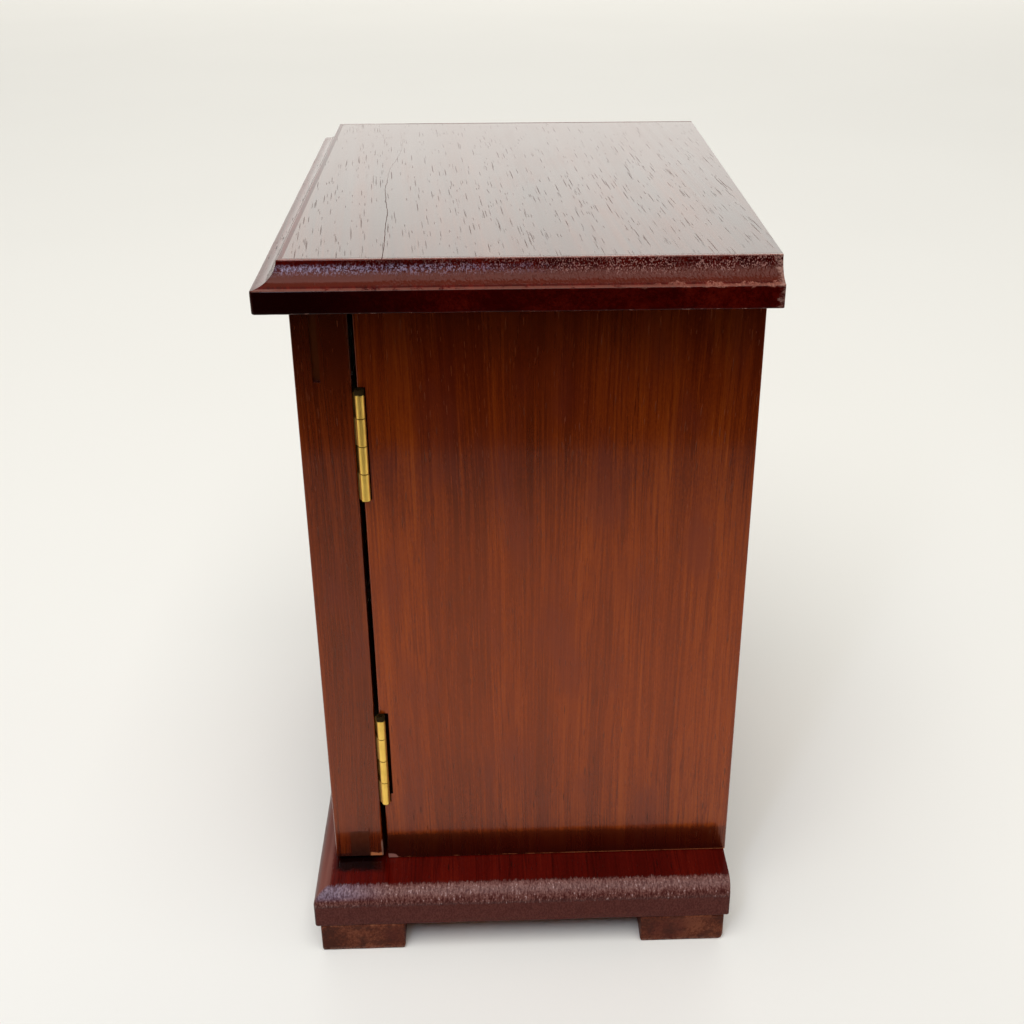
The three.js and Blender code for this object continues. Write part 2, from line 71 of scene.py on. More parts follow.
# ------------------------------------------------------------------ materials
class Shader:
    """A node tree with short helpers. Lengths inside it are millimetres in the row frame."""

    def __init__(self, name):
        self.mat = bpy.data.materials.new(name)
        self.mat.use_nodes = True
        self.t = self.mat.node_tree
        self.t.nodes.clear()
        self.out = self.t.nodes.new("ShaderNodeOutputMaterial")
        self.bsdf = self.t.nodes.new("ShaderNodeBsdfPrincipled")
        self.t.links.new(self.bsdf.outputs[0], self.out.inputs["Surface"])
        self.tc = self.t.nodes.new("ShaderNodeTexCoord")
        scale = self.t.nodes.new("ShaderNodeVectorMath")
        scale.operation = "SCALE"
        scale.inputs["Scale"].default_value = 1000.0
        self.t.links.new(self.tc.outputs["Object"], scale.inputs[0])
        self.p = scale.outputs[0]
        self.normal = self.tc.outputs["Normal"]

    def put(self, socket, value):
        if hasattr(value, "is_output"):
            self.t.links.new(value, socket)
        else:
            socket.default_value = value

    def math(self, op, a, b=0.0, c=0.0, clamp=False):
        n = self.t.nodes.new("ShaderNodeMath")
        n.operation, n.use_clamp = op, clamp
        for s, v in zip(n.inputs, (a, b, c)):
            self.put(s, v)
        return n.outputs[0]

    def add(self, a, b): return self.math("ADD", a, b)
    def sub(self, a, b): return self.math("SUBTRACT", a, b)
    def mul(self, a, b): return self.math("MULTIPLY", a, b)
    def mx(self, a, b): return self.math("MAXIMUM", a, b)
    def mn(self, a, b): return self.math("MINIMUM", a, b)
    def inv(self, a): return self.math("SUBTRACT", 1.0, a)

    def vmath(self, op, a, b=(0, 0, 0)):
        n = self.t.nodes.new("ShaderNodeVectorMath")
        n.operation = op
        self.put(n.inputs[0], a)
        self.put(n.inputs[1], b)
        return n.outputs[0]

    def xyz(self, v):
        n = self.t.nodes.new("ShaderNodeSeparateXYZ")
        self.put(n.inputs[0], v)
        return n.outputs

    def vec(self, x, y, z):
        n = self.t.nodes.new("ShaderNodeCombineXYZ")
        for s, v in zip(n.inputs, (x, y, z)):
            self.put(s, v)
        return n.outputs[0]

    def noise(self, v, detail=2.0, rough=0.5, scale=1.0, color=False, distortion=0.0):
        n = self.t.nodes.new("ShaderNodeTexNoise")
        self.put(n.inputs["Vector"], v)
        n.inputs["Scale"].default_value = scale
        n.inputs["Detail"].default_value = detail
        n.inputs["Roughness"].default_value = rough
        n.inputs["Distortion"].default_value = distortion
        return n.outputs["Color" if color else 0]

    def cells(self, v, randomness=1.0, color=False, smooth=False):
        n = self.t.nodes.new("ShaderNodeTexVoronoi")
        self.put(n.inputs["Vector"], v)
        n.inputs["Scale"].default_value = 1.0
        n.inputs["Randomness"].default_value = randomness
        return n.outputs["Color" if color else "Distance"]

    def step(self, v, lo, hi, to_lo=0.0, to_hi=1.0, smooth=True):
        n = self.t.nodes.new("ShaderNodeMapRange")
        n.interpolation_type = "SMOOTHSTEP" if smooth else "LINEAR"
        n.clamp = True
        for s, x in zip(n.inputs[:5], (v, lo, hi, to_lo, to_hi)):
            self.put(s, x)
        return n.outputs[0]

    def mix(self, f, a, b, blend="MIX"):
        n = self.t.nodes.new("ShaderNodeMix")
        n.data_type, n.blend_type, n.clamp_factor = "RGBA", blend, True
        col = lambda c: c if hasattr(c, "is_output") else (*c[:3], 1.0)
        self.put(n.inputs[0], f)
        self.put(n.inputs[6], col(a))
        self.put(n.inputs[7], col(b))
        return n.outputs[2]

    def attr(self, name):
        n = self.t.nodes.new("ShaderNodeAttribute")
        n.attribute_name = name
        return n.outputs["Fac"]

    def bump(self, height, distance_mm, normal=None, strength=1.0):
        n = self.t.nodes.new("ShaderNodeBump")
        n.inputs["Strength"].default_value = strength
        n.inputs["Distance"].default_value = distance_mm * MM
        self.put(n.inputs["Height"], height)
        if normal is not None:
            self.put(n.inputs["Normal"], normal)
        return n.outputs[0]


def wood(name, grain, tones, pore, seed=(0.0, 0.0, 0.0), rough=0.27, ior=1.9, tint=(1.0, 0.19, 0.02), coat=1.0,
         coat_rough=0.09, amounts=(0.55, 0.50, 0.66, 0.22), lines=1.15, wander=1.0, skew=0.0, grit=0.17,
         pores=((0.90, 10.0, 0.185), (0.50, 5.5, 0.16)), pore_amount=0.95, pore_rough=0.25, pore_depth=1.1, end=0.6,
         worn=(0.36, 0.14, 0.07), wear=0.22, cloud=(0.085, 0.0120, 0.0080), clouds=0.55, gate_floor=0.30, extra=None):
    """Stained and lacquered hardwood. grain is the axis that the fibres run along, tones are four stain colours from dark
    to light, amounts say how much the broad bands, the streaks, the fine fibres and the cloudy figure count. The fibres
    under the lacquer give a coloured gloss, and the lacquer over them a clear one."""
    s = Shader(name)
    g = "XYZ".index(grain)
    p = s.vmath("ADD", s.p, seed)

    def stretch(cross, along):
        v = [1.0 / cross] * 3
        v[g] = 1.0 / along
        return tuple(v)

    # the fibres wander a little across the board
    q = p
    for cross, along, amount in ((34.0, 190.0, 9.0), (6.0, 30.0, 0.8)):
        amp = [amount * wander] * 3
        amp[g] = 0.0
        w = s.noise(s.vmath("MULTIPLY", p, stretch(cross, along)), detail=1.0, color=True)
        q = s.vmath("ADD", q, s.vmath("MULTIPLY", s.vmath("SUBTRACT", w, (0.5, 0.5, 0.5)), tuple(amp)))
    if skew:
        parts = list(s.xyz(q))
        other = 1 if g == 0 else 0
        parts[other] = s.sub(parts[other], s.mul(parts[g], skew))
        q = s.vec(*parts)

    band = s.noise(s.vmath("MULTIPLY", q, stretch(11.0, 320.0)), detail=2.0)
    streaks = s.noise(s.vmath("MULTIPLY", q, stretch(2.6, 260.0)), detail=3.0, rough=0.6)
    fibres = s.noise(s.vmath("MULTIPLY", q, stretch(0.62, 52.0)), detail=2.0, rough=0.6)
    figure = s.noise(s.vmath("MULTIPLY", p, stretch(10.0, 24.0)), detail=2.0, rough=0.5)
    speck = s.noise(s.vmath("MULTIPLY", q, stretch(0.34, 0.9)), detail=1.0)
    t = 0.5
    for layer, k in zip((band, streaks, fibres, figure), amounts):
        if k:
            t = s.add(s.mul(s.sub(layer, 0.5), 2.0 * k), t)
    # thin darker lines under a millimetre apart, each a few centimetres long
    thread = s.noise(s.vmath("MULTIPLY", q, stretch(0.85, 60.0)), detail=1.0)
    thread = s.step(s.math("ABSOLUTE", s.sub(thread, 0.5)), 0.040, 0.0)
    thread = s.mul(thread, s.step(figure, 0.36, 0.56, 0.35, 1.0))
    t = s.sub(t, s.mul(thread, 0.26 * lines))
    t = s.add(t, s.mul(s.sub(speck, 0.5), 2.0 * grit))

    # open pores: long thin vessels, seen as dashes along the grain and as dots on the end
    gate = s.noise(s.vmath("MULTIPLY", p, stretch(2.6, 14.0)), detail=2.0)
    vessel = None
    for cross, along, size in pores:
        cell = s.cells(s.vmath("MULTIPLY", s.vmath("ADD", q, (cross * 3.7, cross * 5.1, cross * 9.3)), stretch(cross, along)))
        width = s.step(gate, 0.36, 0.62, size * gate_floor, size)
        v = s.step(s.math("DIVIDE", cell, width), 1.0, 0.45)
        vessel = v if vessel is None else s.mx(vessel, s.mul(v, 0.7))

    # how much of the end of the fibres is showing
    endness = s.step(s.math("ABSOLUTE", s.xyz(s.normal)[g]), 0.35, 0.85)

    ramp = s.t.nodes.new("ShaderNodeValToRGB")
    e = ramp.color_ramp.elements
    e[0].position, e[1].position = 0.12, 0.90
    for pos in (0.38, 0.60):
        e.new(pos)
    for el, c in zip(e, tones):
        el.color = (*c, 1.0)
    s.put(ramp.inputs[0], t)
    color = ramp.outputs[0]
    # soft mauve clouds in the stain
    if clouds:
        mist = s.noise(s.vmath("MULTIPLY", p, stretch(12.0, 30.0)), detail=2.0, rough=0.45)
        color = s.mix(s.mul(s.step(mist, 0.50, 0.70), clouds), color, cloud)
    color = s.mix(s.mul(vessel, pore_amount), color, pore)
    color = s.mix(s.mul(endness, end), color, tuple(c * 0.5 for c in tones[0]))

    roughness = s.add(rough, s.mul(s.sub(streaks, 0.5), 0.16))
    roughness = s.add(roughness, s.mul(s.sub(figure, 0.5), 0.12))
    roughness = s.add(roughness, s.mul(s.mul(vessel, s.inv(s.mul(endness, 0.8))), pore_rough))
    height = s.sub(s.mul(fibres, 0.30), s.mul(s.mul(vessel, s.inv(endness)), pore_depth))
    height = s.add(height, s.mul(streaks, 0.20))
    height = s.sub(height, s.mul(thread, 0.12 * lines))

    # rubbed arrises
    edge = s.attr("edge")
    rub = s.noise(s.vmath("MULTIPLY", s.p, (0.55, 0.55, 0.55)), detail=4.0, rough=0.65)
    rub = s.mul(s.mul(edge, s.step(rub, 0.60 - 0.12 * wear, 0.72 - 0.08 * wear)), min(1.0, 0.6 * wear))
    color = s.mix(rub, color, worn)
    roughness = s.add(roughness, s.mul(rub, 0.15))

    ctx = dict(s=s, p=s.p, q=q, end=endness, fibres=fibres, streaks=streaks, vessel=vessel, edge=edge, figure=figure)
    if extra:
        color, roughness, height = extra(ctx, color, roughness, height)

    s.put(s.bsdf.inputs["Base Color"], color)
    s.put(s.bsdf.inputs["Roughness"], roughness)
    s.bsdf.inputs["IOR"].default_value = ior
    s.bsdf.inputs["Specular Tint"].default_value = (*tint, 1.0)
    s.bsdf.inputs["Coat Weight"].default_value = coat
    s.bsdf.inputs["Coat Roughness"].default_value = coat_rough
    s.bsdf.inputs["Coat IOR"].default_value = 1.31
    normal = s.bump(height, 0.05)
    s.put(s.bsdf.inputs["Normal"], normal)
    if coat:
        s.put(s.bsdf.inputs["Coat Normal"], s.bump(height, 0.02))
    return s.mat


# stain colours, linear, dark to light
FACE = ((0.052, 0.0050, 0.0009), (0.106, 0.0122, 0.0012), (0.170, 0.0235, 0.0016), (0.238, 0.0410, 0.0026))
STILE = ((0.040, 0.0040, 0.0009), (0.080, 0.0090, 0.0013), (0.122, 0.0160, 0.0018), (0.175, 0.0280, 0.0032))
DEEP = ((0.030, 0.0007, 0.0003), (0.048, 0.0012, 0.0005), (0.070, 0.0022, 0.0008), (0.105, 0.0060, 0.0018))
TOPC = ((0.030, 0.0045, 0.0022), (0.050, 0.0095, 0.0045), (0.068, 0.0150, 0.0070), (0.100, 0.0260, 0.0120))
FEET = ((0.060, 0.0110, 0.0040), (0.104, 0.0215, 0.0080), (0.150, 0.0350, 0.0140), (0.205, 0.0580, 0.0260))
INNER = ((0.110, 0.0300, 0.0130), (0.190, 0.0600, 0.0260), (0.270, 0.0950, 0.0430), (0.360, 0.1450, 0.0700))
PORE = (0.009, 0.0011, 0.0006)
HINGE_ROWS = ((121.0, 148.2), (36.3, 63.5))


def design_y(s, y):
    return s.sub(y, Y0)


def side_extra(c, color, roughness, height):
    s = c["s"]
    x, y, z = s.xyz(c["p"])
    yd = design_y(s, y)
    # rubbed line along the foot of the panel, broken up, stronger to the rear
    n = s.noise(s.vmath("MULTIPLY", c["p"], (0.25, 0.25, 0.25)), detail=4.0, rough=0.7)
    foot = s.mul(s.step(z, 18.80, 18.55), s.step(s.add(n, s.step(yd, 20.0, 100.0, -0.12, 0.10)), 0.36, 0.52))
    color = s.mix(s.mul(foot, 0.85), color, (0.42, 0.130, 0.050))
    # painted shade and painted reflection of the dark base board: a dark band in the corner above the base board, with
    # a ragged top, darker towards the front, and a painted contact shade just above the board
    ragged = s.noise(s.vmath("MULTIPLY", c["q"], (0.6, 0.6, 0.09)), detail=4.0, rough=0.7)
    foot_shade_band = s.step(s.add(z, s.mul(s.sub(ragged, 0.5), 3.0)), 26.9, 25.3)
    foot_shade_color = s.mix(s.step(yd, 20.0, 52.0), (0.010, 0.0008, 0.0003), (0.026, 0.0010, 0.0004))
    color = s.mix(s.mul(s.mul(foot_shade_band, s.inv(foot)), 0.90), color, foot_shade_color)
    foot_shade_band = s.step(z, 21.5, 18.6)
    color = s.mix(s.mul(s.mul(foot_shade_band, s.inv(foot)), 0.50), color, (0.014, 0.0008, 0.0003))
    # painted shade: the panel darker towards the top, under the overhang of the top board
    color = s.mix(s.mul(s.step(z, 146.0, 168.0), 0.35), color, (0.060, 0.0040, 0.0008))
    # more painted shade over the upper panel, with a wandering lower limit
    drift = s.noise(s.vmath("MULTIPLY", c["p"], (0.05, 0.05, 0.022)), detail=2.0)
    upper = s.step(s.add(z, s.mul(s.sub(drift, 0.5), 44.0)), 118.0, 150.0)
    color = s.mix(s.mul(upper, 0.50), color, (0.078, 0.0056, 0.0008))
    # painted light: the middle of the panel, where light falls below the overhang's shade, a little lighter and more
    # orange
    body = s.mul(s.step(z, 132.0, 104.0), s.step(z, 30.0, 62.0))
    color = s.mix(s.mul(body, 0.20), color, (0.34, 0.052, 0.0045))
    # bruised front corner at the foot
    r = s.math("SQRT", s.add(s.math("POWER", s.sub(yd, 13.6), 2.0), s.mul(s.math("POWER", s.sub(z, 18.2), 2.0), 2.4)))
    r = s.add(r, s.mul(s.sub(n, 0.5), 1.6))
    chip = s.mul(s.step(r, 2.5, 1.9), s.step(s.math("ABSOLUTE", x), 59.1, 59.3))
    color = s.mix(s.mul(chip, 0.9), color, (0.42, 0.19, 0.15))
    return color, roughness, height


def stile_extra(c, color, roughness, height):
    s = c["s"]
    x, y, z = s.xyz(c["p"])
    yd = design_y(s, y)
    n = s.noise(s.vmath("MULTIPLY", c["p"], (0.9, 0.9, 0.55)), detail=4.0, rough=0.7)
    # raw wood where the lower rear corner has been knocked
    back = s.add(yd, s.mul(s.sub(n, 0.5), 0.7))
    low = s.add(z, s.mul(s.sub(n, 0.5), 1.2))
    # painted shade: the stile darker along its foot, just above the base board, with a ragged limit
    foot = s.step(s.add(z, s.mul(s.sub(n, 0.5), 1.6)), 20.6, 19.6)
    color = s.mix(s.mul(foot, 0.75), color, (0.022, 0.0020, 0.0010))
    chip = s.mul(s.step(low, 20.35, 20.0), s.step(back, 8.5, 8.9))
    run = s.mul(s.step(low, 24.6, 23.2), s.step(back, 11.50, 11.72))
    on = s.step(x, 57.2, 57.8)
    chip, run = s.mul(chip, on), s.mul(run, on)
    color = s.mix(chip, color, (0.68, 0.23, 0.09))
    color = s.mix(s.mul(run, 0.8), color, (0.42, 0.24, 0.18))
    roughness = s.add(roughness, s.mul(s.mx(chip, run), 0.3))
    # painted shade: the stile runs almost to black towards its top, under the overhang, and is darker from further down
    color = s.mix(s.mul(s.step(z, 132.0, 158.0), 0.92), color, (0.016, 0.0007, 0.0004))
    color = s.mix(s.mul(s.step(z, 118.0, 140.0), 0.30), color, (0.060, 0.0045, 0.0008))
    return color, roughness, s.sub(height, s.mul(chip, 1.5))


def rail_extra(c, color, roughness, height):
    """The ends of the rails that show in the stile's edge: the upper one painted almost black, the lower one dull."""
    s = c["s"]
    x, y, z = s.xyz(c["p"])
    tip = s.step(s.math("ABSOLUTE", x), 58.0, 58.3)
    color = s.mix(s.mul(tip, s.step(z, 100.0, 101.0)), color, (0.0045, 0.0008, 0.0005))
    patch = s.noise(s.vmath("MULTIPLY", c["p"], (1.0, 1.0, 1.0)), detail=3.0, rough=0.6)
    dull = s.mix(s.step(patch, 0.40, 0.62), (0.016, 0.0045, 0.0030), (0.034, 0.0110, 0.0070))
    color = s.mix(s.mul(s.mul(tip, s.step(z, 101.0, 100.0)), 0.92), color, dull)
    return color, s.add(roughness, s.mul(tip, 0.20)), height


def end_mask(s, p, inset, front):
    """1 on a board's two ends, where the fibres come out, from inset millimetres inwards, and 0 along its front."""
    x, y, z = s.xyz(p)
    ax = s.math("ABSOLUTE", x)
    side = s.step(ax, 72.3 - inset - 0.4, 72.3 - inset + 0.4)
    mitre = s.sub(s.sub(s.sub(y, Y0), front), s.sub(72.3, ax))
    return s.mul(side, s.step(mitre, -0.6, 0.9))


def base_extra(c, color, roughness, height):
    """Fibre ends on the rounded moulding: rough mauve, with a ragged upper limit, and painted sheen on it: lighter and
    more lavender towards the crown, bluish at the front end, with pale flecks for glints.
    """
    s = c["s"]
    x, y, z = s.xyz(c["p"])
    ax = s.math("ABSOLUTE", x)
    rag = s.noise(s.vmath("MULTIPLY", c["p"], (0.35, 1.3, 0.35)), detail=4.0, rough=0.75)
    strokes = s.noise(s.vmath("MULTIPLY", c["p"], (0.70, 1.9, 0.70)), detail=2.0, rough=0.6)
    dust = s.noise(s.vmath("MULTIPLY", c["p"], (2.0, 2.9, 2.0)), detail=1.0, rough=0.5)
    shift = s.mul(s.sub(rag, 0.5), 3.8)
    side = s.mul(s.step(s.add(ax, shift), 68.3, 69.3), end_mask(s, c["p"], 5.2, -4.9))
    lip = s.step(s.add(z, s.mul(s.sub(strokes, 0.5), 1.6)), 13.8, 14.7)
    on_round = s.mul(side, lip)
    on_fillet = s.mul(side, s.inv(lip))
    fleck_and_glint = s.add(s.mul(strokes, 0.6), s.mul(dust, 0.4))
    yd = design_y(s, y)
    # painted sheen: the upper half of the round lighter and more lavender than the lower half
    sheen_crown = s.step(z, 15.4, 16.8)
    low = s.mix(s.step(fleck_and_glint, 0.40, 0.60), (0.050, 0.0075, 0.0055), (0.150, 0.0540, 0.0440))
    upper_sheen_tint = s.mix(s.step(fleck_and_glint, 0.36, 0.62), (0.080, 0.0220, 0.0190), (0.200, 0.0940, 0.0800))
    # painted reflection of the cool window: bluish towards the front end
    upper_sheen_tint = s.mix(s.mul(s.step(yd, 16.0, -2.0), 0.8), upper_sheen_tint, s.mix(s.step(fleck_and_glint, 0.36, 0.62), (0.075, 0.0430, 0.0640), (0.210, 0.1600, 0.2250)))
    tint = s.mix(sheen_crown, low, upper_sheen_tint)
    # painted glints: pale flecks on the round, among the fibre-end flecks of the wood
    tint = s.mix(s.step(fleck_and_glint, 0.60, 0.68), tint, (0.38, 0.25, 0.24))
    # the front moulding runs with the grain: smooth, with a painted sheen, a lighter pinkish band along its round,
    # where the lacquer is also rougher
    front_sheen = s.mul(s.step(z, 14.2, 14.8), s.mul(s.inv(side), s.step(s.sub(yd, s.mul(s.sub(strokes, 0.5), 0.5)), -0.4, -1.3)))
    color = s.mix(s.mul(front_sheen, s.step(c["streaks"], 0.35, 0.65, 0.45, 0.80)), color, (0.185, 0.0620, 0.0460))
    roughness = s.add(roughness, s.mul(front_sheen, 0.15))
    color = s.mix(s.mul(on_round, 0.92), color, tint)
    plain = s.mix(s.step(dust, 0.3, 0.7), (0.062, 0.0090, 0.0060), (0.105, 0.0240, 0.0165))
    color = s.mix(s.mul(on_fillet, 0.9), color, plain)
    roughness = s.add(roughness, s.mul(on_round, 0.20))
    roughness = s.add(roughness, s.mul(on_fillet, 0.30))
    # painted contact shadow on the base board against the door's foot
    blot = s.noise(s.vmath("MULTIPLY", c["p"], (0.5, 0.3, 0.5)), detail=3.0, rough=0.6)
    door_foot_shadow = s.step(s.add(ax, s.mul(s.sub(blot, 0.5), 4.0)), 65.2, 62.6)
    door_foot_shadow = s.mul(door_foot_shadow, s.mul(s.step(yd, -1.2, 1.2), s.step(yd, 15.0, 9.0)))
    color = s.mix(s.mul(door_foot_shadow, s.step(z, 18.0, 18.15)), color, (0.0035, 0.0004, 0.0003))
    height = s.add(height, s.mul(s.mul(on_round, fleck_and_glint), 5.0))
    height = s.add(height, s.mul(s.mul(on_fillet, dust), 0.6))
    return color, roughness, height


def mould_extra(c, color, roughness, height):
    """Fibre ends in the hollow moulding: pitted under the lacquer, so it sparkles, with painted glints as pale flecks
    and a painted bluish reflection of the window towards the front.
    """
    s = c["s"]
    x, y, z = s.xyz(c["p"])
    yd = design_y(s, y)
    side = end_mask(s, c["p"], 5.6, -5.4)
    hollow = s.mul(side, s.step(z, 173.7, 174.1))
    coarse = s.noise(s.vmath("MULTIPLY", c["p"], (1.0, 1.8, 1.0)), detail=1.0, rough=0.45)
    pit = s.noise(s.vmath("MULTIPLY", c["p"], (2.0, 2.6, 2.0)), detail=0.0)
    patch = s.noise(s.vmath("MULTIPLY", c["p"], (0.11, 0.11, 0.11)), detail=2.0)
    sealed = s.step(s.add(yd, s.mul(s.sub(patch, 0.5), 26.0)), 14.0, 22.0, 0.08, 1.0)
    mixn = s.add(s.mul(coarse, 0.65), s.mul(pit, 0.35))
    height = s.add(height, s.mul(s.mul(s.mul(hollow, sealed), mixn), 6.5))
    grain = s.noise(s.vmath("MULTIPLY", c["p"], (2.9, 3.9, 2.9)), detail=1.0, rough=0.5)
    # painted glints: pale flecks in the hollow
    fleck_and_glint = s.mul(s.step(s.add(s.mul(grain, 0.7), s.mul(mixn, 0.3)), 0.525, 0.585), s.step(patch, 0.38, 0.58, 0.20, 1.0))
    fleck_and_glint = s.mul(fleck_and_glint, s.step(s.add(yd, s.mul(s.sub(patch, 0.5), 40.0)), 40.0, 78.0, 0.50, 1.0))
    fleck_and_glint = s.mul(fleck_and_glint, s.step(s.add(z, s.mul(s.sub(coarse, 0.5), 2.0)), 174.6, 176.6, 0.22, 1.0))
    color = s.mix(s.mul(s.mul(hollow, s.mul(fleck_and_glint, sealed)), 0.62), color, (0.40, 0.20, 0.165))
    # towards the front, a painted reflection of the cool window: milky bluish flecks in a band along the middle of the
    # hollow
    window_glint_band = s.mul(s.step(z, 175.0, 175.9), s.step(z, 177.7, 176.9))
    window_glint_band = s.mul(window_glint_band, s.step(s.add(yd, s.mul(s.sub(patch, 0.5), 34.0)), 66.0, 18.0))
    window_glint_band = s.mul(window_glint_band, s.step(s.add(s.mul(grain, 0.6), s.mul(coarse, 0.4)), 0.475, 0.575))
    color = s.mix(s.mul(s.mul(hollow, window_glint_band), 0.52), color, (0.31, 0.25, 0.35))
    brown = s.mul(hollow, s.step(s.add(z, s.mul(s.sub(coarse, 0.5), 1.2)), 176.9, 175.3))
    color = s.mix(s.mul(brown, s.mul(s.inv(fleck_and_glint), 0.85)), color, (0.074, 0.0110, 0.0045))
    roughness = s.sub(roughness, s.mul(hollow, 0.05))
    roughness = s.add(roughness, s.mul(s.mul(hollow, s.mx(s.mul(sealed, 0.14), s.mul(brown, 0.12))), s.mul(s.inv(fleck_and_glint), 0.78)))
    # the arris between the flat and the hollow is rubbed thin
    color = s.mix(s.mul(s.mul(hollow, s.step(z, 178.15, 178.3)), 0.35), color, (0.36, 0.16, 0.12))
    # the upright edge runs almost to black at the front corner
    upright = s.mul(side, s.step(z, 173.65, 173.5))
    color = s.mix(s.mul(s.mul(upright, s.step(yd, 40.0, 4.0)), 0.96), color, (0.0025, 0.0002, 0.0002))
    color = s.mix(s.mul(s.mul(upright, s.step(yd, 104.0, 60.0)), 0.30), color, (0.0120, 0.0006, 0.0004))
    # rubbed arris over the upright edge: a fine line, broad and broken towards the rear
    n = s.noise(s.vmath("MULTIPLY", c["p"], (0.4, 0.45, 0.9)), detail=4.0, rough=0.75)
    away = s.math("ABSOLUTE", s.sub(z, 173.60))
    thin = s.mul(s.step(away, 0.16, 0.06), s.step(n, 0.34, 0.46))
    wide = s.mul(s.step(s.add(away, s.mul(s.sub(n, 0.5), 2.4)), 0.16, 0.06), s.step(yd, 60.0, 92.0))
    line = s.mul(s.mx(s.mul(thin, 0.45), s.mul(wide, s.step(grain, 0.36, 0.60, 0.35, 1.0))), side)
    color = s.mix(s.mul(line, 0.80), color, (0.30, 0.115, 0.080))
    # knocked lower arris, in short lengths
    low = s.mul(s.mul(s.step(z, 169.05, 168.85), s.step(n, 0.56, 0.62)), side)
    color = s.mix(s.mul(low, 0.6), color, (0.34, 0.17, 0.13))
    # bruised rear corner
    corner = s.mul(s.step(s.add(yd, s.mul(s.sub(n, 0.5), 5.0)), 99.2, 100.6), side)
    color = s.mix(s.mul(s.mul(corner, s.step(n, 0.42, 0.60)), 0.7), color, (0.34, 0.19, 0.15))
    return color, roughness, height


def top_extra(c, color, roughness, height):
    """The lacquer is fuller on the left-hand half of the top, where it has closed most of the pores."""
    s = c["s"]
    x, y, z = s.xyz(c["p"])
    full = s.mul(s.step(x, 14.0, -52.0), 0.66)
    color = s.mix(full, color, (0.060, 0.0135, 0.0065))
    roughness = s.add(s.mul(roughness, s.inv(full)), s.mul(full, 0.21))
    return color, roughness, s.mul(height, s.inv(s.mul(full, 0.75)))


def foot_extra(c, color, roughness, height):
    s = c["s"]
    x, y, z = s.xyz(c["p"])
    cloud = s.noise(s.vmath("MULTIPLY", c["p"], (0.22, 0.22, 0.30)), detail=4.0, rough=0.65)
    color = s.mix(s.mul(s.step(cloud, 0.48, 0.66), 0.7), color, (0.040, 0.0090, 0.0045))
    n = s.noise(s.vmath("MULTIPLY", c["p"], (0.8, 0.8, 0.8)), detail=4.0, rough=0.7)
    low = s.mul(s.step(s.add(z, s.mul(s.sub(n, 0.5), 2.4)), 1.3, 0.5), s.step(n, 0.44, 0.60))
    color = s.mix(s.mul(low, 0.55), color, (0.30, 0.17, 0.13))
    return color, roughness, s.add(height, s.mul(cloud, 0.8))


M = {}
M["top"] = wood("mahogany_top", "X", TOPC, (0.060, 0.0120, 0.0060), seed=(3.0, 11.0, 5.0), rough=0.19, ior=1.66,
                tint=(1.0, 1.0, 1.0), coat=0.0, amounts=(0.5, 0.5, 0.5, 0.5), skew=0.075, wander=0.26, clouds=0.0, gate_floor=0.66,
                pores=((0.60, 30.0, 0.200), (0.50, 20.0, 0.220), (0.60, 12.0, 0.170)), pore_amount=0.9, pore_rough=0.34,
                pore_depth=0.9, lines=0.6, extra=top_extra)
M["mould"] = wood("mahogany_mould", "X", DEEP, (0.012, 0.0006, 0.0003), seed=(3.0, 11.0, 5.0), rough=0.17, skew=0.075,
                  wander=1.5, end=0.35, extra=mould_extra, ior=1.17, tint=(1.0, 0.66, 0.62), coat=0.18, coat_rough=0.08, clouds=0.0,
                  worn=(0.20, 0.045, 0.030), wear=0.3)
M["base"] = wood("mahogany_base", "X", DEEP, (0.012, 0.0006, 0.0003), seed=(31.0, 7.0, 17.0), rough=0.17,
                 amounts=(0.3, 0.3, 0.25, 0.2), extra=base_extra, clouds=0.0, ior=1.22, tint=(1.0, 1.0, 1.0), coat=0.0)
M["side_r"] = wood("mahogany_side_right", "Z", FACE, PORE, seed=(13.0, 57.0, 29.0), extra=side_extra, grit=0.25, lines=1.45,
                   clouds=0.68, gate_floor=0.42)
M["side_l"] = wood("mahogany_side_left", "Z", FACE, PORE, seed=(113.0, 7.0, 61.0), extra=side_extra, grit=0.25, lines=1.45,
                   clouds=0.68, gate_floor=0.42)
M["stile_r"] = wood("mahogany_stile_right", "Z", STILE, PORE, seed=(71.0, 33.0, 5.0), extra=stile_extra)
M["stile_l"] = wood("mahogany_stile_left", "Z", STILE, PORE, seed=(171.0, 93.0, 15.0))
M["close_r"] = wood("mahogany_closing_right", "Z", FACE, PORE, seed=(41.0, 63.0, 95.0))
M["close_l"] = wood("mahogany_closing_left", "Z", FACE, PORE, seed=(141.0, 3.0, 35.0))
M["rail_r"] = wood("mahogany_rails_right", "X", FACE, PORE, seed=(19.0, 43.0, 75.0), end=0.85, extra=rail_extra)
M["rail_l"] = wood("mahogany_rails_left", "X", FACE, PORE, seed=(119.0, 143.0, 25.0), end=0.85, extra=rail_extra)
M["panel_r"] = wood("mahogany_panel_right", "Z", FACE, PORE, seed=(89.0, 23.0, 65.0), wander=2.2, amounts=(0.9, 0.55, 0.55, 0.35))
M["panel_l"] = wood("mahogany_panel_left", "Z", FACE, PORE, seed=(189.0, 73.0, 5.0), wander=2.2, amounts=(0.9, 0.55, 0.55, 0.35))
M["foot"] = wood("mahogany_feet", "X", FEET, PORE, seed=(57.0, 91.0, 3.0), rough=0.50, ior=1.20, tint=(1.0, 1.0, 1.0), coat=0.0,
                 wear=0.6, amounts=(0.7, 0.5, 0.8, 0.8), end=0.25, extra=foot_extra)
